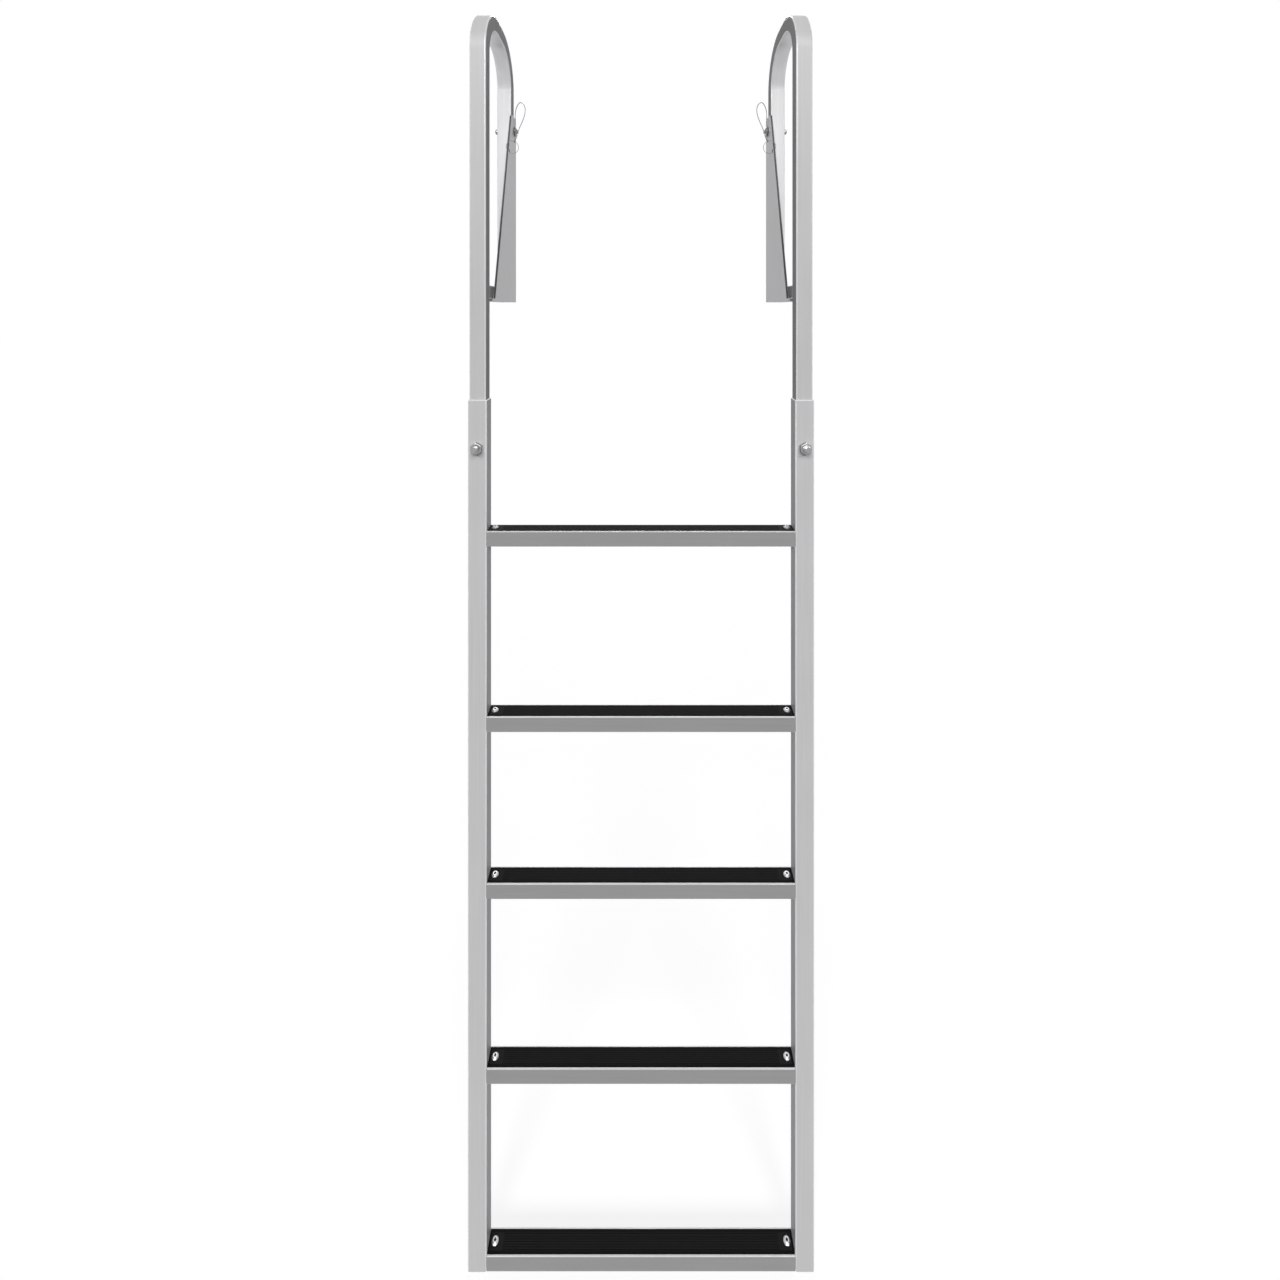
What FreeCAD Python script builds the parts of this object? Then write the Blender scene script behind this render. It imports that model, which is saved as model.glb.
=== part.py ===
"""Dock ladder: two stiles with five steps, telescoped hand hoops and two deck brackets with lock pins.

Millimetres. The origin lies on the deck, in the middle of the left bracket's foot. X runs across
the ladder from the left side to the right side, Y runs from the water towards the dock, Z is up.
The left side is modelled, and the right side is its mirror image.
"""
import FreeCAD, Part
import math
import os

Vector = FreeCAD.Vector

# Overall sizes
side_spacing = 530.0
stile_foot_z = -1570.0
stile_rim_z = -161.0
hoop_top_z = 495.0
hoop_depth = 200.0
step_rises = (303.0, 299.0, 270.0, 300.0)

# Square tubes: width is across the ladder, depth runs towards the dock
hoop_tube_width = 27.0
hoop_tube_depth = 25.0
hoop_tube_wall = 2.0
hoop_tube_corner = 2.5
hoop_bend_radius = 70.0
hoop_insert = 180.0
slide_clearance = 0.2
stile_wall = 1.8
stile_corner = 2.6
stile_rim_chamfer = 0.8
base_tube_height = 22.0
base_tube_wall = 2.0
base_tube_corner = 2.0

# Deck bracket: an angle with a gusset as its upright leg
bracket_length = 156.0
bracket_height = 360.0
bracket_top_length = 35.0
bracket_thickness = 4.0
bracket_front_corner = 9.0
bracket_back_corner = 4.0
foot_hole_radius = 4.5
foot_hole_spacing = 80.0
foot_countersink_radius = 7.5

# Lock pin and its lanyard; both drops are measured from the gusset's top
pin_radius = 5.0
pin_clearance = 0.1
pin_drop = 27.0
pin_tip_reach = 6.0
pin_tip_chamfer = 1.5
pin_seat_gap = 0.3
pin_head_radius = 9.0
pin_head_chamfer = 0.5
pin_head_rim = 2.5
pin_head_height = 5.5
pin_head_shoulder_radius = 5.6
pin_head_top_radius = 5.0
pin_head_top_edge = 0.6
pin_button_radius = 2.6
pin_button_height = 1.5
cable_radius = 0.75
ring_radius = 11.5
ring_lean = 20.0
ring_drop = 76.0
ring_hole_clearance = 0.4
ring_hole_web = 2.6
ring_reach = 8.0
eye_angle = 65.0
eye_bend_radius = 2.2
eye_slack = 0.35
eye_length = 5.0
sleeve_length = 9.0
sleeve_margin = 0.55
sleeve_flat = 0.1
cable_head_gap = 0.4
cable_arc_share = 0.45
cable_straight = 11.0
cable_loop = (
    (23.5, -46.0, -4.5),
    (26.5, -39.0, 10.5),
    (26.0, -29.5, 25.5),
    (20.5, -20.0, 38.5),
    (11.5, -11.0, 46.0),
    (3.0, -4.0, 38.5),
    (-0.5, -0.6, 25.5),
    (0.3, 0.2, 12.0),
)

# Bolt that holds each hoop in its stile
bolt_radius = 5.0
bolt_clearance = 0.2
bolt_drop = 77.0
bolt_tip_reach = 11.0
bolt_tip_chamfer = 1.2
bolt_head_height = 6.4
thread_clearance = 0.02
nut_height = 8.4
hex_across_flats = 17.0
hex_bevel = 0.8

# Steps, their rubber treads and the tread screws
step_height = 25.0
step_wall = 2.0
step_corner = 1.5
step_lip = 2.0
tread_thickness = 2.6
tread_recess = 2.2
tread_side_gap = 0.2
tread_corner = 0.6
screw_inset = 10.0
screw_radius = 3.0
screw_clearance = 0.2
screw_length = 11.0
screw_head_radius = 5.4
screw_head_height = 3.0
screw_head_rim = 1.2
screw_head_flat_radius = 3.3
screw_socket_flats = 4.0
screw_socket_depth = 1.8

# What follows from the sizes above
stile_width = hoop_tube_width + 2 * (slide_clearance + stile_wall)
stile_depth = hoop_tube_depth + 2 * (slide_clearance + stile_wall)
hoop_back_y = bracket_length / 2
hoop_front_y = hoop_back_y - hoop_depth
front_leg_y = hoop_front_y + hoop_tube_depth / 2
back_leg_y = hoop_back_y - hoop_tube_depth / 2
bolt_z = stile_rim_z - bolt_drop
pin_height = bracket_height - pin_drop
ring_height = bracket_height - ring_drop
tube_face_x = hoop_tube_width / 2
plate_face_x = tube_face_x + bracket_thickness
step_length = side_spacing - stile_width
centre_plane_x = side_spacing / 2
same_place = 0.01


def rectangle_corners(centre, first, second, width, height):
    """Corners of a rectangle in the plane of two unit vectors."""
    half_width = first * (width / 2)
    half_height = second * (height / 2)
    return [centre + half_width * a + half_height * b for a, b in ((-1, -1), (1, -1), (1, 1), (-1, 1))]


def sharp_rectangle(centre, first, second, width, height):
    corners = rectangle_corners(centre, first, second, width, height)
    return Part.makePolygon(corners + [corners[0]])


def rounded_rectangle(centre, first, second, width, height, radius):
    """Closed outline in the plane of two unit vectors, with its four corners rounded."""
    corners = rectangle_corners(centre, first, second, width, height)
    edges = []
    for index, corner in enumerate(corners):
        before = (corners[index - 1] - corner).normalize()
        after = (corners[(index + 1) % 4] - corner).normalize()
        start = corner + before * radius
        end = corner + after * radius
        middle = corner + (before + after) * (radius * (1 - math.sqrt(0.5)))
        following = corners[(index + 1) % 4]
        edges.append(Part.Arc(start, middle, end).toShape())
        edges.append(Part.LineSegment(end, following - after * radius).toShape())
    return Part.Wire(edges)


def square_tube(start, end, across, width, depth, wall, corner):
    """Straight hollow tube between two points; across is the direction of its width."""
    along = end - start
    other = Vector(along).normalize().cross(across)
    outer = rounded_rectangle(start, across, other, width, depth, corner)
    bore = sharp_rectangle(start, across, other, width - 2 * wall, depth - 2 * wall)
    return Part.Face(outer).extrude(along).cut(Part.Face(bore).extrude(along))


def bent_path(points, radii):
    """Wire of straight runs through the points, with a tangent arc of the given radius at each turn."""
    edges = []
    last = points[0]
    for index in range(1, len(points) - 1):
        corner = points[index]
        into = (corner - points[index - 1]).normalize()
        out = (points[index + 1] - corner).normalize()
        turn = into.getAngle(out)
        cut_back = radii[index - 1] * math.tan(turn / 2)
        start = corner - into * cut_back
        end = corner + out * cut_back
        sagitta = radii[index - 1] * (1 / math.cos(turn / 2) - 1)
        middle = corner + (out - into).normalize() * sagitta
        edges.append(Part.LineSegment(last, start).toShape())
        edges.append(Part.Arc(start, middle, end).toShape())
        last = end
    edges.append(Part.LineSegment(last, points[-1]).toShape())
    return Part.Wire(edges)


def sweep(path, outline):
    return path.makePipeShell([outline], True, False)


def round_bar(start, along, radius):
    return Part.makeCylinder(radius, along.Length, start, along)


def outline_face(points):
    return Part.Face(Part.makePolygon(points + [points[0]]))


def edges_centred_at(shape, point):
    return [edge for edge in shape.Edges if (edge.CenterOfMass - point).Length < same_place]


def hexagon_face(centre, first, second, flats):
    """Hexagon in the plane of two unit vectors, with a corner in the first one's direction."""
    corner_radius = flats / math.sqrt(3)
    angles = [math.radians(60 * index) for index in range(6)]
    return outline_face(
        [centre + first * (corner_radius * math.cos(a)) + second * (corner_radius * math.sin(a)) for a in angles]
    )


def bevelled_hexagon(centre, along):
    """Bolt head or nut that stands on its seat along Y, with a corner on top and its free end turned round."""
    prism = hexagon_face(centre, Vector(0, 0, 1), Vector(1, 0, 0), hex_across_flats).extrude(along)
    turned = round_bar(centre, along, hex_across_flats / math.sqrt(3))
    return prism.common(turned.makeChamfer(hex_bevel, edges_centred_at(turned, centre + along)))


def stile():
    """Hollow leg of the ladder, drilled front to back for the hoop's bolt."""
    foot = Vector(0, front_leg_y, stile_foot_z)
    rim = Vector(0, front_leg_y, stile_rim_z)
    tube = square_tube(foot, rim, Vector(1, 0, 0), stile_width, stile_depth, stile_wall, stile_corner)
    rim_face = max(tube.Faces, key=lambda face: face.CenterOfMass.z)
    return tube.makeChamfer(stile_rim_chamfer, rim_face.OuterWire.Edges).cut(bolt_hole())


def bolt_hole():
    front = Vector(0, front_leg_y - stile_depth, bolt_z)
    return round_bar(front, Vector(0, 2 * stile_depth, 0), bolt_radius + bolt_clearance)


def pin_hole():
    outside = Vector(-hoop_tube_width, back_leg_y, pin_height)
    return round_bar(outside, Vector(2 * hoop_tube_width, 0, 0), pin_radius + pin_clearance)


def hoop():
    """Hand hoop: one hollow tube bent over from the front leg, which slides into the stile, to the back leg."""
    crown_z = hoop_top_z - hoop_tube_depth / 2
    start = Vector(0, front_leg_y, stile_rim_z - hoop_insert)
    points = [
        start,
        Vector(0, front_leg_y, crown_z),
        Vector(0, back_leg_y, crown_z),
        Vector(0, back_leg_y, bracket_thickness),
    ]
    path = bent_path(points, [hoop_bend_radius] * 2)
    across, depth_way = Vector(1, 0, 0), Vector(0, 1, 0)
    bore_width = hoop_tube_width - 2 * hoop_tube_wall
    bore_depth = hoop_tube_depth - 2 * hoop_tube_wall
    outer = rounded_rectangle(start, across, depth_way, hoop_tube_width, hoop_tube_depth, hoop_tube_corner)
    bore = sharp_rectangle(start, across, depth_way, bore_width, bore_depth)
    return sweep(path, outer).cut(sweep(path, bore)).cut(bolt_hole()).cut(pin_hole())


def base_tube():
    """Short tube that closes the hoop at deck level and rests on the bracket's foot."""
    middle_z = bracket_thickness + base_tube_height / 2
    start = Vector(0, hoop_front_y + hoop_tube_depth, middle_z)
    end = Vector(0, hoop_back_y - hoop_tube_depth, middle_z)
    return square_tube(
        start, end, Vector(1, 0, 0), hoop_tube_width, base_tube_height, base_tube_wall, base_tube_corner
    )


def slanted_edge_y(height):
    """Where the gusset's front edge stands at a height above the deck."""
    run = bracket_length - bracket_top_length
    return -bracket_length / 2 + run * height / bracket_height


def ring_crossing():
    """How far below the ring's centre it enters and leaves the gusset, measured along the ring's plane."""
    near = math.sqrt((ring_radius - cable_radius) ** 2 - (ring_reach + bracket_thickness / 2) ** 2)
    far = math.sqrt((ring_radius + cable_radius) ** 2 - (ring_reach - bracket_thickness / 2) ** 2)
    return near, far


def ring_hole_radius():
    near, far = ring_crossing()
    return (far - near) / 2 + ring_hole_clearance


def ring_hole_centre():
    edge_slope = (bracket_length - bracket_top_length) / bracket_height
    edge_distance = ring_hole_radius() + ring_hole_web
    return Vector(
        plate_face_x - bracket_thickness / 2,
        slanted_edge_y(ring_height) + edge_distance * math.hypot(1, edge_slope),
        ring_height,
    )


def deck_bracket():
    """Angle with a flat foot under the base tube and a tapering gusset on the inner side of the hoop."""
    half = bracket_length / 2
    corners = [(-half, 0), (half, 0), (half, bracket_height), (half - bracket_top_length, bracket_height)]
    gusset = outline_face([Vector(tube_face_x, y, z) for y, z in corners]).extrude(Vector(bracket_thickness, 0, 0))
    for (y, z), radius in ((corners[2], bracket_back_corner), (corners[3], bracket_front_corner)):
        middle = Vector(tube_face_x + bracket_thickness / 2, y, z)
        gusset = gusset.makeFillet(radius, edges_centred_at(gusset, middle))
    foot = Part.makeBox(
        hoop_tube_width + bracket_thickness,
        bracket_length,
        bracket_thickness,
        Vector(-tube_face_x, -half, 0),
    )
    bracket = gusset.fuse(foot).removeSplitter()
    sink_depth = foot_countersink_radius - foot_hole_radius
    for way in (-1, 1):
        hole_foot = Vector(0, way * foot_hole_spacing / 2, 0)
        sink_foot = hole_foot + Vector(0, 0, bracket_thickness - sink_depth)
        bracket = bracket.cut(round_bar(hole_foot, Vector(0, 0, bracket_thickness), foot_hole_radius))
        bracket = bracket.cut(Part.makeCone(foot_hole_radius, foot_countersink_radius, sink_depth, sink_foot))
    ring_hole = ring_hole_centre() - Vector(bracket_thickness, 0, 0)
    bracket = bracket.cut(round_bar(ring_hole, Vector(2 * bracket_thickness, 0, 0), ring_hole_radius()))
    return bracket.cut(pin_hole())


def lock_pin():
    """Quick-release pin: a turned shank with a stepped head and a push button, all round one axis."""
    seat_x = plate_face_x + pin_seat_gap
    tip_x = -tube_face_x - pin_tip_reach
    head_x = seat_x + pin_head_height
    profile = [
        (tip_x, 0),
        (tip_x, pin_radius - pin_tip_chamfer),
        (tip_x + pin_tip_chamfer, pin_radius),
        (seat_x, pin_radius),
        (seat_x, pin_head_radius - pin_head_chamfer),
        (seat_x + pin_head_chamfer, pin_head_radius),
        (seat_x + pin_head_rim, pin_head_radius),
        (head_x - pin_head_top_edge, pin_head_shoulder_radius),
        (head_x, pin_head_top_radius),
        (head_x, pin_button_radius),
        (head_x + pin_button_height, pin_button_radius),
        (head_x + pin_button_height, 0),
    ]
    face = outline_face([Vector(x, back_leg_y, pin_height + r) for x, r in profile])
    return face.revolve(Vector(0, back_leg_y, pin_height), Vector(1, 0, 0), 360)


def ring_frame():
    """Centre of the split ring and the two directions of its plane: inboard, and up with a lean."""
    lean = math.radians(ring_lean)
    upward = Vector(0, -math.sin(lean), math.cos(lean))
    near, far = ring_crossing()
    centre = ring_hole_centre() + upward * ((near + far) / 2) + Vector(ring_reach, 0, 0)
    return centre, Vector(1, 0, 0), upward


def lanyard_ring():
    centre, inboard, upward = ring_frame()
    return Part.makeTorus(ring_radius, cable_radius, centre, inboard.cross(upward))


def eye_frame():
    """Centre of the eye's bend, the direction of its pull, and the direction across its two strands."""
    centre, inboard, upward = ring_frame()
    angle = math.radians(eye_angle)
    outward = inboard * math.cos(angle) + upward * math.sin(angle)
    across = outward.cross(inboard.cross(upward)).cross(outward)
    return centre + outward * (ring_radius + eye_slack), outward, across


def lanyard_eye():
    """End of the cable, bent through the ring and back into the crimp sleeve."""
    centre, outward, across = eye_frame()
    first = centre + across * eye_bend_radius
    last = centre - across * eye_bend_radius
    edges = [
        Part.LineSegment(first + outward * eye_length, first).toShape(),
        Part.Arc(first, centre - outward * eye_bend_radius, last).toShape(),
        Part.LineSegment(last, last + outward * eye_length).toShape(),
    ]
    section = Part.Wire(Part.Circle(first + outward * eye_length, outward, cable_radius).toShape())
    return sweep(Part.Wire(edges), section)


def lanyard_sleeve():
    """Oval sleeve crimped over the two strands of the eye."""
    centre, outward, across = eye_frame()
    foot = centre + outward * eye_length
    thickness = 2 * (cable_radius + sleeve_margin)
    width = 2 * eye_bend_radius + thickness
    other = outward.cross(across)
    outline = rounded_rectangle(foot, across, other, width, thickness, (thickness - sleeve_flat) / 2)
    return Part.Face(outline).extrude(outward * sleeve_length)


def cable_points():
    """Route of the free cable, from the sleeve up over its loop and down to the pin's head."""
    centre, outward, across = eye_frame()
    start = centre + outward * (eye_length + sleeve_length) + across * eye_bend_radius
    end = Vector(
        plate_face_x + pin_seat_gap + pin_head_rim / 2,
        back_leg_y,
        pin_height + pin_head_radius + cable_head_gap,
    )
    loop = [end + Vector(*offset) for offset in cable_loop]
    return [start, start + outward * cable_straight] + loop + [end]


def lanyard():
    """Steel cable with its loop, as straight runs joined by tangent arcs."""
    points = cable_points()
    runs = [points[i + 1] - points[i] for i in range(len(points) - 1)]
    radii = []
    for one, following in zip(runs, runs[1:]):
        turn = one.getAngle(following)
        radii.append(cable_arc_share * min(one.Length, following.Length) / math.tan(turn / 2))
    path = bent_path(points, radii)
    section = Part.Wire(Part.Circle(points[0], runs[0], cable_radius).toShape())
    cable = sweep(path, section)
    print("cable runs", [round(run.Length, 1) for run in runs])
    print("cable arc radii", [round(radius, 1) for radius in radii])
    print("cable volume over section times length", round(cable.Volume / (math.pi * cable_radius**2 * path.Length), 4))
    return cable


def splice_bolt():
    """Hexagon bolt through stile and hoop, with its head on the dock side."""
    back = Vector(0, front_leg_y + stile_depth / 2, bolt_z)
    length = Vector(0, -(stile_depth + nut_height + bolt_tip_reach), 0)
    shank = round_bar(back, length, bolt_radius)
    shank = shank.makeChamfer(bolt_tip_chamfer, edges_centred_at(shank, back + length))
    return shank.fuse(bevelled_hexagon(back, Vector(0, bolt_head_height, 0)))


def splice_nut():
    front = Vector(0, front_leg_y - stile_depth / 2, bolt_z)
    height = Vector(0, -nut_height, 0)
    return bevelled_hexagon(front, height).cut(round_bar(front, height, bolt_radius + thread_clearance))


def step_tops():
    """Height of each step's upper edge, from the lowest step, flush with the stiles' feet, to the highest."""
    tops = [stile_foot_z + step_height]
    for rise in step_rises:
        tops.append(tops[-1] + rise)
    return tops


def screw_places():
    return [stile_width / 2 + screw_inset, side_spacing - stile_width / 2 - screw_inset]


def step(top_z):
    """Hollow extrusion between the stiles, with a shallow channel on top for the tread."""
    depth_way, up = Vector(0, 1, 0), Vector(0, 0, 1)
    length = Vector(step_length, 0, 0)
    start = Vector(stile_width / 2, front_leg_y, top_z - step_height / 2)
    outer = rounded_rectangle(start, depth_way, up, stile_depth, step_height, step_corner)
    bore_height = step_height - tread_recess - 2 * step_wall
    bore_start = start - up * (tread_recess / 2)
    bore = sharp_rectangle(bore_start, depth_way, up, stile_depth - 2 * step_wall, bore_height)
    channel = Part.makeBox(
        step_length,
        stile_depth - 2 * step_lip,
        2 * tread_recess,
        Vector(start.x, front_leg_y - stile_depth / 2 + step_lip, top_z - tread_recess),
    )
    body = Part.Face(outer).extrude(length).cut(Part.Face(bore).extrude(length)).cut(channel)
    for x in screw_places():
        body = body.cut(screw_hole(x, top_z))
    return body


def screw_hole(x, top_z):
    below = Vector(x, front_leg_y, top_z - step_height / 2)
    return round_bar(below, Vector(0, 0, step_height), screw_radius + screw_clearance)


def tread(top_z):
    """Rubber pad that lies in the step's channel and stands a little above its lips."""
    width = stile_depth - 2 * (step_lip + tread_side_gap)
    pad = Part.makeBox(
        step_length - 2 * tread_side_gap,
        width,
        tread_thickness,
        Vector(stile_width / 2 + tread_side_gap, front_leg_y - width / 2, top_z - tread_recess),
    )
    pad = pad.makeFillet(
        tread_corner, [edge for edge in pad.Edges if edge.BoundBox.ZMin > top_z - tread_recess + tread_thickness / 2]
    )
    for x in screw_places():
        pad = pad.cut(screw_hole(x, top_z))
    return pad


def tread_screws(top_z):
    """Button-head screws, one through each end of the tread."""
    seat_z = top_z - tread_recess + tread_thickness
    screws = []
    profile = [
        (0, -screw_length),
        (screw_radius, -screw_length),
        (screw_radius, 0),
        (screw_head_radius, 0),
        (screw_head_radius, screw_head_rim),
        (screw_head_flat_radius, screw_head_height),
        (0, screw_head_height),
    ]
    for x in screw_places():
        seat = Vector(x, front_leg_y, seat_z)
        turned = outline_face([seat + Vector(r, 0, z) for r, z in profile]).revolve(seat, Vector(0, 0, 1), 360)
        socket_floor = seat + Vector(0, 0, screw_head_height - screw_socket_depth)
        socket = hexagon_face(socket_floor, Vector(1, 0, 0), Vector(0, 1, 0), screw_socket_flats)
        screws.append(turned.cut(socket.extrude(Vector(0, 0, 2 * screw_socket_depth))))
    return Part.makeCompound(screws)


def mirrored(shape):
    return shape.mirror(Vector(centre_plane_x, 0, 0), Vector(1, 0, 0))


def export(name, shape):
    shape.exportStep(os.path.join("parts", name + ".step"))


os.makedirs("parts", exist_ok=True)

paired_pieces = {
    "stile": stile,
    "hoop": hoop,
    "base_tube": base_tube,
    "deck_bracket": deck_bracket,
    "lock_pin": lock_pin,
    "lanyard": lanyard,
    "lanyard_sleeve": lanyard_sleeve,
    "lanyard_eye": lanyard_eye,
    "lanyard_ring": lanyard_ring,
    "splice_bolt": splice_bolt,
    "splice_nut": splice_nut,
}
for name, build in paired_pieces.items():
    left = build()
    export(name + "_left", left)
    export(name + "_right", mirrored(left))

for number, top in enumerate(step_tops(), start=1):
    export(f"step_{number}", step(top))
    export(f"tread_{number}", tread(top))
    export(f"tread_screws_{number}", tread_screws(top))
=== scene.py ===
"""Looks of a dock ladder: two aluminium stiles, five steps with rubber treads, two hand hoops, and two
deck brackets with lock pins on steel lanyards. Lengths are in metres. X runs across the ladder from the
left, Y towards the dock and Z up from the deck."""
import math

import bmesh
import bpy
from mathutils import Matrix, Vector


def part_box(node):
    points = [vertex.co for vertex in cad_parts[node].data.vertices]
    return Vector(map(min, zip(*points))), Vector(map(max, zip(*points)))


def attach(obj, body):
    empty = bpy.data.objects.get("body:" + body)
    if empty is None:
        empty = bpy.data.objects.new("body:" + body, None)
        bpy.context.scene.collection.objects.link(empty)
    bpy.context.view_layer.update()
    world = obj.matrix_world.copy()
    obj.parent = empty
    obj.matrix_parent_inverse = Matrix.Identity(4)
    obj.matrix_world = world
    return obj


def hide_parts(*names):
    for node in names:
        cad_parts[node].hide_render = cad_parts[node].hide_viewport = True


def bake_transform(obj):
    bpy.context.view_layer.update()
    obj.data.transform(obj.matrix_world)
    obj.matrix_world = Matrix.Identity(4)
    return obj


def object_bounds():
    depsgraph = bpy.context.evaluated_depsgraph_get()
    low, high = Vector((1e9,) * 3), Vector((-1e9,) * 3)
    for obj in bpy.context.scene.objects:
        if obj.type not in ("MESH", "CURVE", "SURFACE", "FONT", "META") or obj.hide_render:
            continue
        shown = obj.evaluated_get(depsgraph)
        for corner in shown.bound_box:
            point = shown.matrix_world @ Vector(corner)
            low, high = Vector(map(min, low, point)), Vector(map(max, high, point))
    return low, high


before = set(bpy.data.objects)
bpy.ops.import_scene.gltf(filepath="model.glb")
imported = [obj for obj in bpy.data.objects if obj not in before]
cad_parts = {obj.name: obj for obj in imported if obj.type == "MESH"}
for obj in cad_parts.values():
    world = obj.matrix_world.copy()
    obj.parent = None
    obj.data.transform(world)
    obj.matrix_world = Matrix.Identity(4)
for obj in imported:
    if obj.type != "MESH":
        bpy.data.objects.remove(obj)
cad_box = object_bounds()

mm = 0.001
scene = bpy.context.scene
bpy.ops.object.select_all(action="DESELECT")


# Camera: level and straight on, close to the hoops, so that verticals stay upright and the hoops' rear
# legs show inside their front legs. Its eye is at the deck, high on the ladder, so the lens is shifted
# down to take in the feet. The plate is upright and narrow, like the ladder.
frame_pixels = 1280
pixel = 0.00162
eye_pixel = 310.0
deck_pixel = 300.7
sideways_pixels = -1.0
hoops_front_y = -122 * mm
eye_distance = 0.9
plate_height = 36.0
plate_width = 18.0
middle_x = 265 * mm

camera = bpy.data.objects.new("camera", bpy.data.cameras.new("camera"))
scene.collection.objects.link(camera)
scene.camera = camera
camera.location = (middle_x, hoops_front_y - eye_distance, (deck_pixel - eye_pixel) * pixel)
camera.rotation_euler = (math.pi / 2, 0, 0)
camera.data.sensor_fit = "VERTICAL"
camera.data.sensor_height = plate_height
camera.data.sensor_width = plate_width
camera.data.lens = plate_height * eye_distance / (pixel * frame_pixels)
camera.data.shift_x = sideways_pixels / frame_pixels
camera.data.shift_y = (eye_pixel - frame_pixels / 2) / frame_pixels


# Lanyards: 1.5 mm stainless wire rope, six strands laid round a core. Each leaves its crimp sleeve,
# stands up in a springy loop, and ends in the rim of the lock pin's head.
strand_radius = 0.25 * mm
strand_count = 6
strand_spacing = 0.7 * mm
rope_lay = 9 * mm
lanyard_route = (
    (34.425, 11.592, 312.134),
    (39.074, 8.182, 321.502),
    (42.55, 19.5, 337.9),
    (45.55, 26.5, 352.9),
    (45.05, 36.0, 367.9),
    (39.55, 45.5, 380.9),
    (30.55, 54.5, 388.4),
    (22.05, 61.5, 380.9),
    (18.55, 64.9, 367.9),
    (19.35, 65.7, 354.4),
    (19.05, 65.5, 342.4),
)
sides = ("left", "right")


def on_side(place, side):
    """A place on the left side, or the same place mirrored to the right side."""
    x, y, z = place
    return Vector((x if side == "left" else 2 * middle_x - x, y, z))


def smooth_line(points):
    """Closely spaced places along the smooth curve that has these control points."""
    curve = bpy.data.curves.new("route", "CURVE")
    curve.dimensions = "3D"
    curve.resolution_u = 24
    spline = curve.splines.new("NURBS")
    spline.points.add(len(points) - 1)
    for point, place in zip(spline.points, points):
        point.co = (*place, 1.0)
    spline.order_u = 3
    spline.use_endpoint_u = True
    route = bpy.data.objects.new("route", curve)
    mesh = bpy.data.meshes.new_from_object(route)
    places = [vertex.co.copy() for vertex in mesh.vertices]
    bpy.data.objects.remove(route)
    bpy.data.curves.remove(curve)
    bpy.data.meshes.remove(mesh)
    return places


def evenly_spaced(line, step):
    """The line again, with its points about a step apart."""
    lengths = [(b - a).length for a, b in zip(line, line[1:])]
    count = max(2, round(sum(lengths) / step))
    spaced = []
    index = 0
    passed = 0.0
    for number in range(count + 1):
        target = sum(lengths) * number / count
        while index < len(lengths) - 1 and passed + lengths[index] < target:
            passed += lengths[index]
            index += 1
        spaced.append(line[index].lerp(line[index + 1], (target - passed) / lengths[index]))
    return spaced


def round_wires(name, lines, radius, roundness=2):
    """One mesh of round wires with closed ends, each along its own line."""
    curve = bpy.data.curves.new(name, "CURVE")
    curve.dimensions = "3D"
    curve.bevel_depth = radius
    curve.bevel_resolution = roundness
    curve.use_fill_caps = True
    for line in lines:
        spline = curve.splines.new("POLY")
        spline.points.add(len(line) - 1)
        for point, place in zip(spline.points, line):
            point.co = (*place, 1.0)
        spline.use_smooth = True
    wires = bpy.data.objects.new(name, curve)
    scene.collection.objects.link(wires)
    bpy.ops.object.select_all(action="DESELECT")
    wires.select_set(True)
    bpy.context.view_layer.objects.active = wires
    bpy.ops.object.convert(target="MESH")
    return bpy.context.object


def laid_rope(name, line, spacing=strand_spacing):
    """Wire rope along a line: a core strand, and the other strands wound round it."""
    line = evenly_spaced(line, spacing)
    step = (line[1] - line[0]).length
    befores = [line[0]] + line
    afters = line[1:] + [line[-1]]
    tangents = [(after - before).normalized() for before, after in zip(befores, afters)]
    normal = tangents[0].orthogonal().normalized()
    strands = [[] for number in range(strand_count)]
    for index, (place, tangent) in enumerate(zip(line, tangents)):
        normal = (tangents[max(index - 1, 0)].rotation_difference(tangent) @ normal).normalized()
        across = tangent.cross(normal)
        for number, strand in enumerate(strands):
            turn = 2 * math.pi * (number / len(strands) + index * step / rope_lay)
            strand.append(place + (normal * math.cos(turn) + across * math.sin(turn)) * (2 * strand_radius))
    return round_wires(name, [line] + strands, strand_radius)


class Wire:
    """One value in a material's nodes, on which sums are written as in Python."""

    def __init__(self, nodes, socket):
        self.nodes = nodes
        self.socket = socket

    def sum(self, operation, *values):
        return self.nodes.node("ShaderNodeMath", values, operation=operation)

    def __add__(self, other):
        return self.sum("ADD", self, other)

    def __sub__(self, other):
        return self.sum("SUBTRACT", self, other)

    def __rsub__(self, other):
        return self.sum("SUBTRACT", other, self)

    def __mul__(self, other):
        return self.sum("MULTIPLY", self, other)

    def __pow__(self, other):
        return self.sum("POWER", self, other)

    def __abs__(self):
        return self.sum("ABSOLUTE", self)

    __radd__ = __add__
    __rmul__ = __mul__

    def above(self, low):
        """The value, or the limit where the value is lower."""
        return self.sum("MAXIMUM", self, low)

    def rise(self, low, high):
        """0 below the low limit, 1 above the high one, and smooth between them."""
        limits = {"Value": self, "From Min": low, "From Max": high}
        return self.nodes.node("ShaderNodeMapRange", limits, interpolation_type="SMOOTHSTEP")


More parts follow.
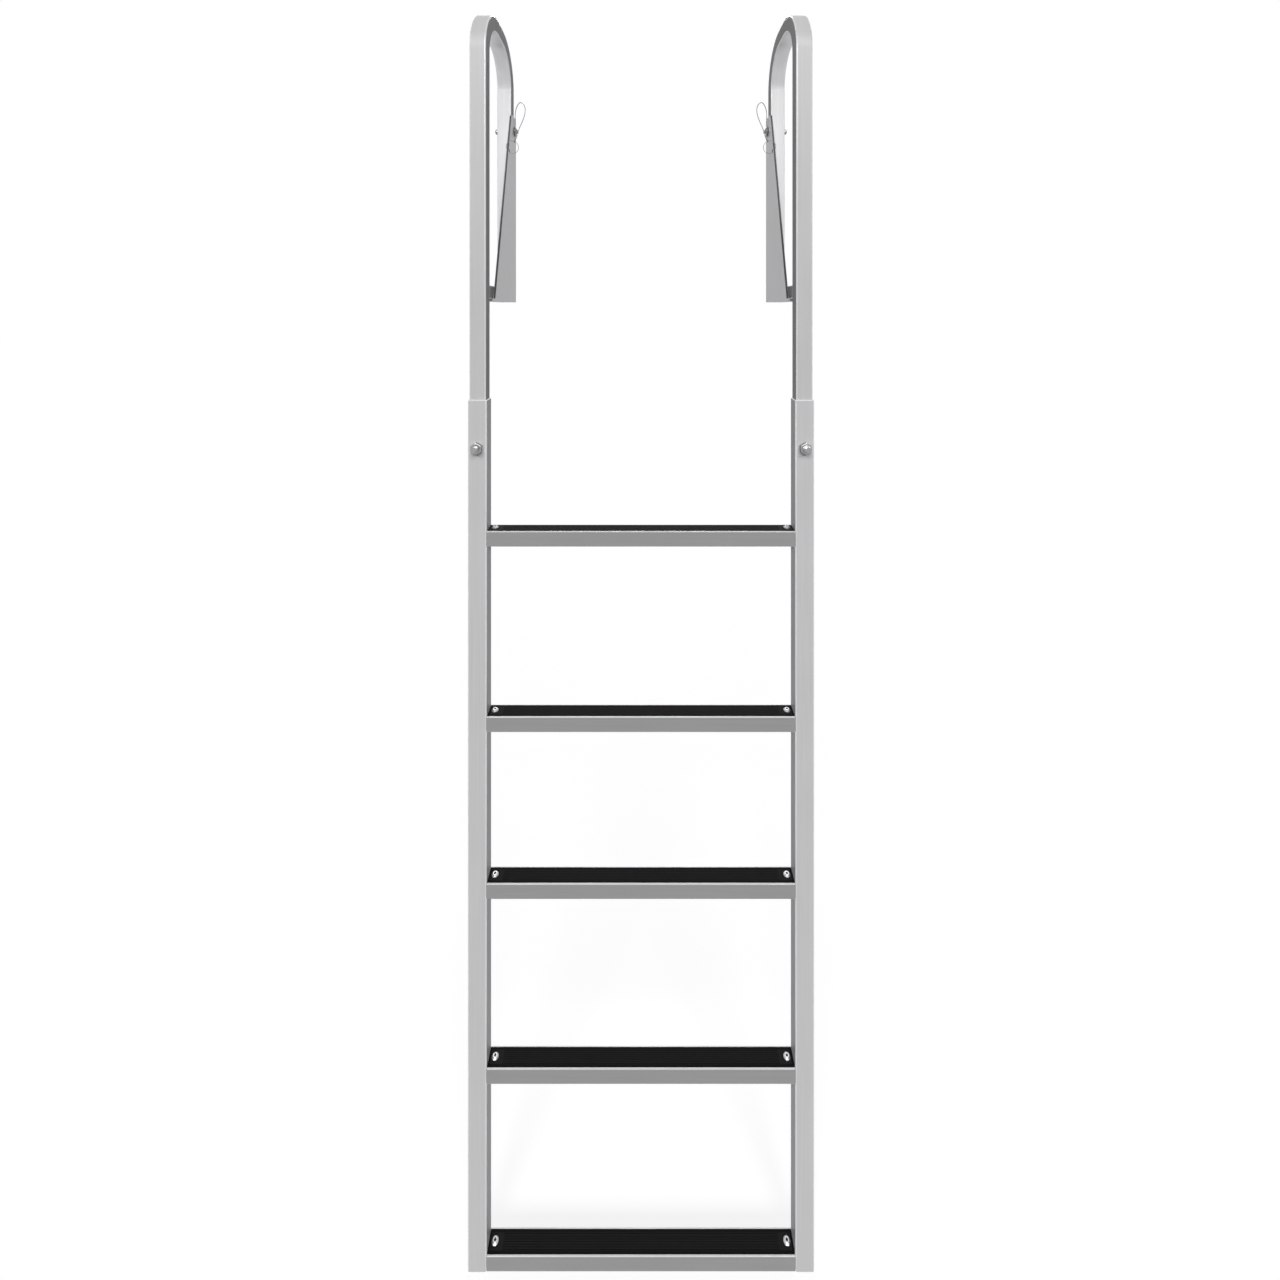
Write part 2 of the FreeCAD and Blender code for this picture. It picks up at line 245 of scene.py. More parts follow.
class Nodes:
    """The nodes of a material or the world. Each comes from node()."""

    def __init__(self, owner):
        owner.use_nodes = True
        self.tree = owner.node_tree
        self.tree.nodes.clear()

    def node(self, kind, values=(), output=0, **settings):
        """Adds a node, with its settings first and then the values or wires of its sockets."""
        made = self.tree.nodes.new(kind)
        for setting, choice in settings.items():
            setattr(made, setting, choice)
        for key, value in values.items() if isinstance(values, dict) else enumerate(values):
            if isinstance(value, Wire):
                self.tree.links.new(value.socket, made.inputs[key])
            else:
                made.inputs[key].default_value = value
        return Wire(self, made.outputs[output]) if len(made.outputs) else None


class Finish(Nodes):
    """A material while it is made, with the place on the object as its wires."""

    def __init__(self, name):
        self.material = bpy.data.materials.new(name)
        super().__init__(self.material)
        self.place = self.node("ShaderNodeTexCoord", output="Object")
        split = [self.node("ShaderNodeSeparateXYZ", [self.place], output=axis) for axis in "XYZ"]
        self.x, self.y, self.z = split
        self.aside = abs(self.x - middle_x)

    def vector(self, x, y, z):
        return self.node("ShaderNodeCombineXYZ", (x, y, z))

    def noise(self, place, size, detail=2.0):
        """Cloudy pattern from 0 to 1 whose patches are about the given size across."""
        return self.node("ShaderNodeTexNoise", {"Vector": place, "Scale": 1 / size, "Detail": detail})

    def mix(self, share, first, second):
        """The first colour, and the second where the share is 1."""
        # Sockets 6 and 7 take the colours, and output 2 gives their mix.
        colours = {0: share, 6: first, 7: second}
        return self.node("ShaderNodeMix", colours, output=2, data_type="RGBA", clamp_factor=True)

    def bumps(self, height, depth, strength=1.0):
        return self.node("ShaderNodeBump", {"Height": height, "Distance": depth, "Strength": strength})

    def surface(self, colour, roughness, normal, **constants):
        """Ends the material with its surface, and returns it."""
        values = {"Base Color": colour, "Roughness": roughness, "Normal": normal}
        values.update({name.replace("_", " "): value for name, value in constants.items()})
        body = self.node("ShaderNodeBsdfPrincipled", values)
        self.node("ShaderNodeOutputMaterial", [body])
        return self.material


def grey(level, blue=1.01):
    """Metal grey, a trace bluer than neutral."""
    return (level, level, level * blue, 1.0)


def wire_rope_finish():
    """Drawn stainless wire, with patches of grime."""
    finish = Finish("wire_rope")
    grime = finish.noise(finish.place, 4 * mm, 3.0)
    drawn = finish.noise(finish.place, 0.15 * mm)
    colour = finish.mix(grime.rise(0.35, 0.75), grey(0.33), grey(0.19))
    roughness = 0.3 + 0.25 * grime
    return finish.surface(colour, roughness, finish.bumps(drawn, 0.02 * mm), Metallic=0.9)


def wear(piece, material):
    """Gives a piece its one material."""
    piece.data.materials.clear()
    piece.data.materials.append(material)
    return piece


wire_rope = wire_rope_finish()
lanyards, routes = {}, {}
for side in sides:
    line = smooth_line([on_side([value * mm for value in place], side) for place in lanyard_route])
    routes[side] = line
    lanyards[side] = wear(laid_rope("lanyard_rope_" + side, line), wire_rope)
    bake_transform(lanyards[side])
    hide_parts("lanyard_" + side)


# Eyes and crimp sleeves: each rope's lower end is bent back through the ring, and an oval aluminium
# sleeve is pressed over both strands with three dies, which leave three dents.
eye_angle = 65.0
ring_lean = 20.0
ring_radius = 11.5 * mm
eye_slack = 0.35 * mm
eye_bend = 2.2 * mm
eye_bend_steps = 16
eye_length = 5 * mm
eye_in_sleeve = 1.5 * mm
eye_strand_spacing = 0.4 * mm
sleeve_length = 9 * mm
sleeve_radius = 1.3 * mm
sleeve_sides = 22
mouth_lip = 0.35 * mm
mouth_depth = 0.3 * mm
dent_spacing = 2.7 * mm
dent_half = 0.55 * mm
dent_slope = 0.4 * mm
dent_squeeze = (0.93, 0.8, 1)


def frame_at(place, first, second, third):
    """A place with three directions across it, for a piece modelled at the origin."""
    turned = Matrix((first, second, third)).transposed().to_4x4()
    turned.translation = place
    return turned


def ring_frame(side):
    """Middle of the ring, the way inboard and the way up in its plane, and its axis."""
    low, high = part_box("lanyard_ring_" + side)
    inboard = Vector((1 if side == "left" else -1, 0, 0))
    lean = math.radians(ring_lean)
    upward = Vector((0, -math.sin(lean), math.cos(lean)))
    return (low + high) / 2, inboard, upward, inboard.cross(upward)


def eye_frame(side):
    """Middle of the eye's bend, the way across its strands and the way of its pull."""
    middle, inboard, upward, axis = ring_frame(side)
    angle = math.radians(eye_angle)
    outward = inboard * math.cos(angle) + upward * math.sin(angle)
    across = outward.cross(axis).cross(outward).normalized()
    return middle + outward * (ring_radius + eye_slack), across, outward


def open_primitive(add, name, **sizes):
    """Adds a primitive with nothing else selected, and opens it for editing."""
    bpy.ops.object.select_all(action="DESELECT")
    add(enter_editmode=True, **sizes)
    bpy.ops.mesh.select_mode(type="VERT")
    bpy.context.object.name = name
    return bpy.context.object


def pick(passes, kind="VERT"):
    """Selects the points or faces of the open mesh that pass a test, and nothing else."""
    bpy.ops.mesh.select_mode(type=kind)
    bpy.ops.mesh.select_all(action="DESELECT")
    shape = bmesh.from_edit_mesh(bpy.context.object.data)
    for item in shape.verts if kind == "VERT" else shape.faces:
        item.select_set(passes(item))
    shape.select_flush_mode()
    bmesh.update_edit_mesh(bpy.context.object.data)


def cut_across(place, normal, **what):
    """Cuts the whole open mesh with a plane."""
    bpy.ops.mesh.select_all(action="SELECT")
    bpy.ops.mesh.bisect(plane_co=place, plane_no=normal, threshold=0.002 * mm, **what)


def close_piece(bevel=0.0, placed=None, smooth=40.0):
    """Leaves editing, rounds the edges, puts the piece in its place and shades it."""
    bpy.ops.object.mode_set(mode="OBJECT")
    piece = bpy.context.object
    if bevel:
        rounding = piece.modifiers.new("rounding", "BEVEL")
        rounding.width = bevel
        rounding.segments = 2
        rounding.limit_method = "ANGLE"
        bpy.ops.object.modifier_apply(modifier="rounding")
    if placed is not None:
        piece.matrix_world = placed
    bpy.ops.object.transform_apply(location=True, rotation=True, scale=True)
    bpy.ops.object.shade_smooth_by_angle(angle=math.radians(smooth))
    return piece


def copied(piece, name, moved):
    """A copy of a piece with its own mesh, moved to its place."""
    twin = bpy.data.objects.new(name, piece.data.copy())
    twin.data.transform(moved)
    scene.collection.objects.link(twin)
    return twin


def crimp_sleeve():
    """Oval sleeve with three pressed dents and a hollow at each end."""
    sizes = {"vertices": sleeve_sides, "radius": sleeve_radius, "depth": sleeve_length}
    open_primitive(bpy.ops.mesh.primitive_cylinder_add, "sleeve_pattern", **sizes)
    for way in (-1, 1):
        pick(lambda point: point.co.x * way > 0)
        bpy.ops.transform.translate(value=(way * eye_bend, 0, 0))
    for number in (-1, 0, 1):
        middle = number * dent_spacing
        for reach in (dent_half, dent_half + dent_slope):
            cut_across((0, 0, middle - reach), (0, 0, 1))
            cut_across((0, 0, middle + reach), (0, 0, 1))
        pick(lambda point: abs(point.co.z - middle) < 1.1 * dent_half)
        bpy.ops.transform.resize(value=dent_squeeze, center_override=(0, 0, 0))
    for way in (-1, 1):
        pick(lambda face: face.calc_center_median().z * way > 0.49 * sleeve_length, "FACE")
        bpy.ops.mesh.inset(thickness=mouth_lip, depth=-mouth_depth)
    return wear(close_piece(0.1 * mm), sleeve_pressed)


def sleeve_finish():
    """Pressed aluminium: dull, with fine scuffs."""
    finish = Finish("sleeve_pressed")
    scuffs = finish.noise(finish.place, 0.3 * mm, 2.0)
    colour = finish.mix(scuffs.rise(0.3, 0.7), grey(0.36), grey(0.41))
    return finish.surface(colour, 0.36 + 0.1 * scuffs, finish.bumps(scuffs, 0.01 * mm, 0.4), Metallic=0.8)


def eye_rope():
    """The rope's bent end, from one mouth of the sleeve's foot to the other."""
    turns = [math.pi * number / eye_bend_steps for number in range(eye_bend_steps + 1)]
    bend = [Vector((math.cos(turn), 0, -math.sin(turn))) * eye_bend for turn in turns]
    leg = Vector((0, 0, eye_length + eye_in_sleeve))
    line = [bend[0] + leg] + bend + [bend[-1] + leg]
    return wear(laid_rope("eye_pattern", line, eye_strand_spacing), wire_rope)


sleeve_pressed = sleeve_finish()
sleeve_pattern = crimp_sleeve()
eye_pattern = eye_rope()
eyes, sleeves = {}, {}
for side in sides:
    middle, across, outward = eye_frame(side)
    placed = frame_at(middle, across, outward.cross(across), outward)
    past_eye = Matrix.Translation((0, 0, eye_length + sleeve_length / 2))
    sleeves[side] = copied(sleeve_pattern, "crimp_sleeve_" + side, placed @ past_eye)
    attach(sleeves[side], "ladder")
    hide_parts("lanyard_sleeve_" + side)
    eyes[side] = copied(eye_pattern, "eye_rope_" + side, placed)
    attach(eyes[side], "ladder")
    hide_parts("lanyard_eye_" + side)
bpy.data.objects.remove(sleeve_pattern)
bpy.data.objects.remove(eye_pattern)


# Split rings: hard stainless wire wound two turns close together, threaded through the gusset's hole
# and the rope's eye.
ring_wire = 0.42 * mm
ring_turns = 1.92
ring_ends_at = 200.0
ring_steps = 150


def split_ring():
    """Wire wound nearly two turns round the origin, with both its ends on the outboard side."""
    line = []
    for number in range(ring_steps + 1):
        share = number / ring_steps - 0.5
        turn = 2 * math.pi * ring_turns * share + math.radians(ring_ends_at)
        rise = share * ring_turns * 2 * ring_wire
        line.append(Vector((math.cos(turn) * ring_radius, math.sin(turn) * ring_radius, rise)))
    return wear(round_wires("ring_pattern", [line], ring_wire, 3), ring_polished)


def ring_finish():
    """Polished spring wire with faint drawing marks."""
    finish = Finish("ring_wire")
    marks = finish.noise(finish.place, 1.5 * mm, 3.0)
    colour = finish.mix(marks, grey(0.2), grey(0.34))
    return finish.surface(colour, 0.2 + 0.2 * marks, finish.bumps(marks, 0.02 * mm, 0.4), Metallic=1.0)


ring_polished = ring_finish()
ring_pattern = split_ring()
rings = {}
for side in sides:
    rings[side] = copied(ring_pattern, "split_ring_" + side, frame_at(*ring_frame(side)))
    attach(rings[side], "ladder")
    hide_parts("lanyard_ring_" + side)
bpy.data.objects.remove(ring_pattern)


# Lock pins: turned stainless steel with a push button in the head. A small collar in the rim of the
# head holds the rope's upper end.
pin_y = 65.5 * mm
pin_z = 333 * mm
button_face = 23.4 * mm
button_radius = 2.6 * mm
collar_foot = 341.3 * mm
collar_radius = 1.35 * mm
collar_height = 3.2 * mm
collar_neck = 0.7 * mm
collar_taper = (0.78, 0.78, 1)
collar_lip = 0.22 * mm
collar_mouth = 0.3 * mm


def turned_steel(finish, radius, along, dark, light):
    """Turned steel, with fine rings round an axis: bright tool marks, and a duller film between them."""
    marks = finish.noise(finish.vector(radius, along, 0.0), 0.25 * mm)
    clouds = finish.noise(finish.place, 6 * mm, 3.0)
    colour = finish.mix(0.5 + 0.5 * (marks - 0.5) + 0.6 * (clouds - 0.5), grey(dark), grey(light))
    roughness = 0.26 + 0.2 * (marks - 0.5) + 0.12 * (clouds - 0.5)
    return colour, roughness, finish.bumps(marks, 0.02 * mm, 0.6)


def pin_finish():
    """Steel turned round the pins' axis, with a black push button in the head."""
    finish = Finish("pin_turned")
    y = finish.y - pin_y
    z = finish.z - pin_z
    radius = (y * y + z * z) ** 0.5
    inward = middle_x - finish.aside
    colour, roughness, normal = turned_steel(finish, radius, inward, 0.16, 0.3)
    near_axis = 1.0 - radius.rise(button_radius, 1.1 * button_radius)
    button = near_axis * inward.rise(button_face, button_face + 0.1 * mm)
    return finish.surface(finish.mix(button, colour, grey(0.05)), roughness, normal, Metallic=1.0)


def rope_collar():
    """Collar on the rim of the pin's head, turned down to a lip round the rope."""
    sizes = {"vertices": 20, "radius": collar_radius, "depth": collar_height}
    open_primitive(bpy.ops.mesh.primitive_cylinder_add, "collar_pattern", **sizes)
    pick(lambda face: face.normal.z > 0.9, "FACE")
    bpy.ops.mesh.extrude_region_move(TRANSFORM_OT_translate={"value": (0, 0, collar_neck)})
    bpy.ops.transform.resize(value=collar_taper)
    bpy.ops.mesh.inset(thickness=collar_lip, depth=-collar_mouth)
    return wear(close_piece(0.12 * mm), sleeve_pressed)


pin_turned = pin_finish()
collar_pattern = rope_collar()
for side in sides:
    wear(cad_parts["lock_pin_" + side], pin_turned)
    place = on_side((lanyard_route[-1][0] * mm, pin_y, collar_foot + collar_height / 2), side)
    collar = copied(collar_pattern, "rope_collar_" + side, Matrix.Translation(place))
    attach(collar, side + "_lock_pin")
bpy.data.objects.remove(collar_pattern)


# Hoops and base tubes: square aluminium tube, drawn and satin finished, with faint die lines along its
# length, a painted highlight on its corners and painted shade on its flanks. The hoops' inner faces have
# painted light. Each hoop is one bent tube, and a short base tube is welded between its legs at deck
# level, with a bead on top at each end.
section_y = -109.5 * mm
hoop_middle_y = -22 * mm
hoop_bend_z = 412.5 * mm
crown_half = 17.5 * mm
bend_radius = 70 * mm
hoop_half_width = 13.5 * mm
hoop_half_depth = 12.5 * mm
hoop_corner = 2.5 * mm
worn_from = 8 * mm
worn_above = 30 * mm
worn_shine = 0.6
streak_contrast = 0.07
painted_shade_share = 0.52
painted_light_share = 1.33
base_tube_z = 15 * mm
base_tube_half_height = 11 * mm
base_tube_corner = 2 * mm
base_weld_inset = 3 * mm
weld_leg = 2.4 * mm
weld_ripple = 1.3 * mm
weld_squash = 0.55
weld_grain = 0.3 * mm
weld_sunk = 0.5 * mm


def drawn_aluminium(
    finish, section, along, corner, tone, highlight_grey=0.85, shine=0.7, painted_shade=0.0, painted_light=0.0, worn=0.0
):
    """Satin aluminium with die lines along a tube. The corners of its section get a painted highlight,
    and more metal. Faces given painted shade are darker and faces given painted light are lighter, by the
    shares set for them, and where worn is 1 hands have made the metal shinier."""
    fine = finish.noise(finish.vector(section[0], section[1], along * 0.004), 0.35 * mm)
    streaks = finish.noise(finish.vector(section[0], section[1], along * 0.02), 3.5 * mm)
    clouds = finish.noise(finish.place, 90 * mm, 4.0)
    shade = 0.5 + 0.3 * (fine - 0.5) + 0.8 * (streaks - 0.5) + 0.5 * (clouds - 0.5)

    def streaked(level):
        return finish.mix(shade, grey(level * (1 - streak_contrast)), grey(level * (1 + streak_contrast)))

    # The skin is the colour with painted shade, the faces add painted light, and the corners get a painted
    # highlight.
    skin = finish.mix(painted_shade, streaked(tone), streaked(tone * painted_shade_share))
    faces = finish.mix(painted_light, skin, streaked(tone * painted_light_share))
    painted_highlight = corner * (0.7 + 0.3 * streaks)
    colour = finish.mix(painted_highlight, faces, grey(highlight_grey))
    roughness = 0.42 + 0.14 * (fine - 0.5) + 0.16 * (clouds - 0.5) - 0.1 * corner
    normal = finish.bumps(fine, 0.03 * mm, 0.5)
    metallic = 0.06 + (shine * painted_highlight).above(worn_shine * worn)
    return finish.surface(colour, roughness, normal, Metallic=metallic, Specular_IOR_Level=0.05)


def near_corner(first, second, half_first, half_second, radius):
    """1 on the rounded corners of a tube's section, measured from its middle."""
    inner = 1.1 * radius
    outer = 0.25 * radius
    first_edge = abs(first).rise(half_first - inner, half_first - outer)
    second_edge = abs(second).rise(half_second - inner, half_second - outer)
    return first_edge * second_edge


def on_face(distance, half):
    """1 on the faces that lie half a tube's width from its middle, and 0 inside them."""
    return distance.rise(half - 0.4 * mm, half - 0.1 * mm)


def hoop_finish():
    """Satin tube whose section is followed round the bend. Its flanks get painted shade and its inner
    face painted light, and in the bend, where hands hold it, that face is made shinier.
    """
    finish = Finish("hoop_satin")
    across = finish.aside - middle_x
    past_middle = (abs(finish.y - hoop_middle_y) - crown_half).above(0.0)
    past_bend = (finish.z - hoop_bend_z).above(0.0)
    outward = (past_middle * past_middle + past_bend * past_bend) ** 0.5 - bend_radius
    section = (across, outward)
    corner = near_corner(across, outward, hoop_half_width, hoop_half_depth, hoop_corner)
    # Painted shade on the flanks and painted light on the inner face.
    flanks = on_face(abs(across), hoop_half_width)
    inside = on_face(0.0 - outward, hoop_half_depth)
    worn = inside * past_bend.rise(worn_from, worn_above)
    looks = {"tone": 0.58, "highlight_grey": 0.78, "painted_shade": flanks, "painted_light": inside, "worn": worn}
    return drawn_aluminium(finish, section, finish.z, corner, **looks)


def base_tube_finish():
    finish = Finish("base_tube_satin")
    across = finish.aside - middle_x
    height = finish.z - base_tube_z
    section = (across, height)
    corner = near_corner(across, height, hoop_half_width, base_tube_half_height, base_tube_corner)
    # Painted shade on the flanks, and a painted highlight on the corners.
    flanks = on_face(abs(across), hoop_half_width)
    return drawn_aluminium(finish, section, finish.y, corner, tone=0.55, painted_shade=flanks)


def weld_finish():
    """Weld metal: bright, with patches of grey film."""
    finish = Finish("weld_metal")
    film = finish.noise(finish.place, 3 * mm, 3.0)
    colour = finish.mix(film.rise(0.35, 0.7), grey(0.5), grey(0.34))
    return finish.surface(colour, 0.35 + 0.3 * film, finish.bumps(film, 0.1 * mm, 0.4), Metallic=0.3)


def weld_bead(name, start, end, first, second):
    """Fillet weld along the corner between two faces with these normals: overlapping puddles made one."""
    along = (end - start).normalized()
    bpy.ops.object.select_all(action="DESELECT")
    bpy.ops.mesh.primitive_uv_sphere_add(segments=16, ring_count=8, radius=weld_leg, location=start)
    bead = bpy.context.object
    bead.name = name
    bead.scale = [1 - weld_squash * abs(value) for value in along]
    bpy.ops.object.transform_apply(location=True, rotation=True, scale=True)
    puddles = bead.modifiers.new("puddles", "ARRAY")
    puddles.count = int((end - start).length / weld_ripple) + 1
    puddles.use_relative_offset = False
    puddles.use_constant_offset = True
    puddles.constant_offset_displace = along * weld_ripple
    bpy.ops.object.modifier_apply(modifier="puddles")
    skin = bead.modifiers.new("skin", "REMESH")
    skin.mode = "VOXEL"
    skin.voxel_size = weld_grain
    bpy.ops.object.modifier_apply(modifier="skin")
    bpy.ops.object.mode_set(mode="EDIT")
    for normal in (first, second):
        cut_across(start - normal * weld_sunk, normal, use_fill=True, clear_inner=True)
    return wear(close_piece(), weld_metal)


hoop_satin = hoop_finish()
base_tube_satin = base_tube_finish()
weld_metal = weld_finish()
across_ladder = Matrix.Translation((2 * middle_x, 0, 0))
for side in sides:
    wear(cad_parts["hoop_" + side], hoop_satin)
    wear(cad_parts["base_tube_" + side], base_tube_satin)
low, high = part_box("base_tube_left")
for end_name, y, facing in (("front", low.y, Vector((0, 1, 0))), ("rear", high.y, Vector((0, -1, 0)))):
    start = Vector((low.x + base_weld_inset, y, high.z))
    end = Vector((high.x - base_weld_inset, y, high.z))
    bead = weld_bead(f"base_weld_{end_name}_left", start, end, Vector((0, 0, 1)), facing)
    for piece in (bead, copied(bead, f"base_weld_{end_name}_right", across_ladder)):
        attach(piece, "ladder")


# Deck brackets: 4 mm aluminium plate, mill finished, with a grain along its height. The sawn edges
# have painted shade, darker than the rolled faces.
gusset_near = 13.5 * mm
gusset_far = 17.5 * mm
foot_top = 4 * mm
edge_fade = 0.4 * mm


def bracket_finish():
    """Rolled plate with painted shade on its sawn edges, between the gusset's two faces and above the foot.
    """
    finish = Finish("bracket_mill")
    inward = middle_x - finish.aside
    past_near = inward.rise(gusset_near, gusset_near + edge_fade)
    before_far = 1.0 - inward.rise(gusset_far - edge_fade, gusset_far)
    shaded_edge = past_near * before_far * finish.z.rise(foot_top, foot_top + 1 * mm)
    rolled = finish.noise(finish.vector(inward, finish.y, finish.z * 0.03), 0.6 * mm)
    clouds = finish.noise(finish.place, 35 * mm, 4.0)
    plain = finish.mix(0.5 + 0.4 * (rolled - 0.5) + 0.7 * (clouds - 0.5), grey(0.6), grey(0.74))
    # Painted shade on the sawn edges.
    colour = finish.mix(shaded_edge, plain, grey(0.08))
    roughness = 0.45 + 0.12 * (rolled - 0.5) + 0.2 * (clouds - 0.5) + 0.1 * shaded_edge
    normal = finish.bumps(rolled, 0.03 * mm, 0.5)
    return finish.surface(colour, roughness, normal, Metallic=0.35, Specular_IOR_Level=0.25)


bracket_mill = bracket_finish()
for side in sides:
    wear(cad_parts["deck_bracket_" + side], bracket_mill)


# Stiles: larger tube of the same kind. Their sawn and deburred rim round the hoop, like their corners, gets
# a painted highlight.
rim_z = -161 * mm
rim_starts = 1.2 * mm
rim_bright = 0.6 * mm
stile_half_width = 15.5 * mm
stile_half_depth = 14.5 * mm
stile_corner = 2.6 * mm


def stile_finish():
    finish = Finish("stile_satin")
    across = finish.aside - middle_x
    depth = finish.y - section_y
    corner = near_corner(across, depth, stile_half_width, stile_half_depth, stile_corner)
    # Painted highlight along the rim, and on the corners.
    rim = finish.z.rise(rim_z - rim_starts, rim_z - rim_bright)
    return drawn_aluminium(finish, (across, depth), finish.z, corner.above(rim), tone=0.6)


stile_satin = stile_finish()
for side in sides:
    wear(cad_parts["stile_" + side], stile_satin)


# Splice bolts: stainless M10 hexagon bolts put in from the dock side and threaded to the head, with a
# nut in front. Nut and head are cut from hexagon bar, and their corners are turned to a bevel.
bolt_z = -238 * mm
bolt_head_seat = -95 * mm
bolt_head_height = 6.4 * mm
bolt_tip = -143.4 * mm
bolt_tip_radius = 3.8 * mm
nut_seat = -124 * mm
nut_height = 8.4 * mm
hexagon_flats = 17 * mm
bevel_radius = 8.05 * mm
bevel_run = math.sqrt(3)
nut_countersink = 0.7 * mm
thread_pitch = 1.5 * mm
thread_major = 4.95 * mm
thread_minor = 4.05 * mm
thread_flat = 0.19 * mm
thread_steps = 28
bore_radius = thread_major + 0.05 * mm
rod_in_head = 1 * mm


def splice_finish():
    """Steel turned round the bolts' axes."""
    finish = Finish("splice_turned")
    across = finish.aside - middle_x
    z = finish.z - bolt_z
    radius = (across * across + z * z) ** 0.5
    colour, roughness, normal = turned_steel(finish, radius, finish.y, 0.24, 0.42)
    return finish.surface(colour, roughness + 0.1, normal, Metallic=0.8)


def carve(body, operation, add, **sizes):
    """Keeps or cuts away what a second shape covers of a body."""
    bpy.ops.object.select_all(action="DESELECT")
    add(**sizes)
    cutter = bpy.context.object
    carving = body.modifiers.new("carving", "BOOLEAN")
    carving.operation = operation
    carving.solver = "EXACT"
    carving.object = cutter
    bpy.context.view_layer.objects.active = body
    bpy.ops.object.modifier_apply(modifier="carving")
    bpy.data.objects.remove(cutter)
    body.select_set(True)


def bevelled_hexagon(name, height, bevel_both):
    """Hexagon from its seat at 0 upwards, bevelled at its outer face or at both."""
    middle = (0, 0, height / 2)
    sizes = {"vertices": 6, "radius": hexagon_flats / math.sqrt(3), "depth": height}
    open_primitive(bpy.ops.mesh.primitive_cylinder_add, name, location=middle, **sizes)
    bpy.ops.object.mode_set(mode="OBJECT")
    bpy.ops.object.transform_apply(location=True, rotation=True, scale=True)
    body = bpy.context.object
    past = 1 * mm
    wide = bevel_radius + (height + past) * bevel_run
    narrow = bevel_radius - past * bevel_run
    for low_radius, high_radius in ((wide, narrow), (narrow, wide)) if bevel_both else ((wide, narrow),):
        carve(
            body,
            "INTERSECT",
            bpy.ops.mesh.primitive_cone_add,
            vertices=72,
            radius1=low_radius,
            radius2=high_radius,
            depth=height + 2 * past,
            location=middle,
        )
    return body


def splice_nut(name, placed):
    """Nut with a plain bore, countersunk at its outer face."""
    body = bevelled_hexagon(name, nut_height, True)
    carve(
        body,
        "DIFFERENCE",
        bpy.ops.mesh.primitive_cylinder_add,
        vertices=48,
        radius=bore_radius,
        depth=2 * nut_height,
        location=(0, 0, nut_height / 2),
    )
    carve(
        body,
        "DIFFERENCE",
        bpy.ops.mesh.primitive_cone_add,
        vertices=48,
        radius1=bore_radius - nut_countersink,
        radius2=bore_radius + nut_countersink,
        depth=2 * nut_countersink,
        location=(0, 0, nut_height),
    )
    return wear(close_piece(placed=placed, smooth=25.0), splice_turned)


def thread_rod(name, length):
    """Rolled thread from 0 up to a turned-down tip: one pitch of its outline, wound up and cut square."""
    open_primitive(bpy.ops.mesh.primitive_plane_add, name, size=mm)
    bpy.ops.mesh.merge(type="CENTER")
    bpy.ops.transform.translate(value=(thread_minor, 0, -1.5 * thread_pitch))
    rise = thread_major - thread_minor
    slope = thread_pitch / 2 - thread_flat
    for move in ((0, 0, thread_flat), (rise, 0, slope), (0, 0, thread_flat), (-rise, 0, slope)):
        bpy.ops.mesh.extrude_region_move(TRANSFORM_OT_translate={"value": move})
    bpy.ops.object.mode_set(mode="OBJECT")
    winding = bpy.context.object.modifiers.new("winding", "SCREW")
    winding.screw_offset = thread_pitch
    winding.iterations = int(length / thread_pitch) + 4
    winding.steps = thread_steps
    winding.render_steps = thread_steps
    winding.use_merge_vertices = True
    bpy.ops.object.modifier_apply(modifier="winding")
    bpy.ops.object.mode_set(mode="EDIT")
    bpy.ops.mesh.select_all(action="SELECT")
    bpy.ops.mesh.remove_doubles(threshold=0.01 * mm)
    cut_across((0, 0, 0), (0, 0, 1), use_fill=True, clear_inner=True)
    cut_across((0, 0, length), (0, 0, 1), use_fill=True, clear_outer=True)
    shape = bmesh.from_edit_mesh(bpy.context.object.data)
    for point in shape.verts:
        radius = math.hypot(point.co.x, point.co.y)
        limit = bolt_tip_radius + length - point.co.z
        if radius > limit:
            point.co.xy *= limit / radius
    bpy.ops.mesh.select_all(action="SELECT")
    bpy.ops.mesh.normals_make_consistent(inside=False)
    return close_piece(smooth=30.0)


def hexagon_bolt(name, placed):
    """Head and thread made one piece."""
    head = bevelled_hexagon(name, bolt_head_height, False)
    head.data.transform(Matrix.Diagonal((1, -1, -1, 1)))
    rod = thread_rod(name + "_rod", bolt_head_seat - bolt_tip + rod_in_head)
    rod.data.transform(Matrix.Translation((0, 0, -rod_in_head)))
    head.select_set(True)
    bpy.context.view_layer.objects.active = head
    bpy.ops.object.join()
    return wear(close_piece(placed=placed, smooth=25.0), splice_turned)


def facing_front(y):
    """A place on the left bolt's axis, with the third direction towards the front."""
    return frame_at(Vector((0, y, bolt_z)), Vector((1, 0, 0)), Vector((0, 0, 1)), Vector((0, -1, 0)))


splice_turned = splice_finish()
nuts = {"left": splice_nut("hexagon_nut_left", facing_front(nut_seat))}
bolts = {"left": hexagon_bolt("hexagon_bolt_left", facing_front(bolt_head_seat))}
nuts["right"] = copied(nuts["left"], "hexagon_nut_right", across_ladder)
bolts["right"] = copied(bolts["left"], "hexagon_bolt_right", across_ladder)
for side in sides:
    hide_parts("splice_nut_" + side)
    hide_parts("splice_bolt_" + side)
    for piece in (nuts[side], bolts[side]):
        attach(piece, "ladder")


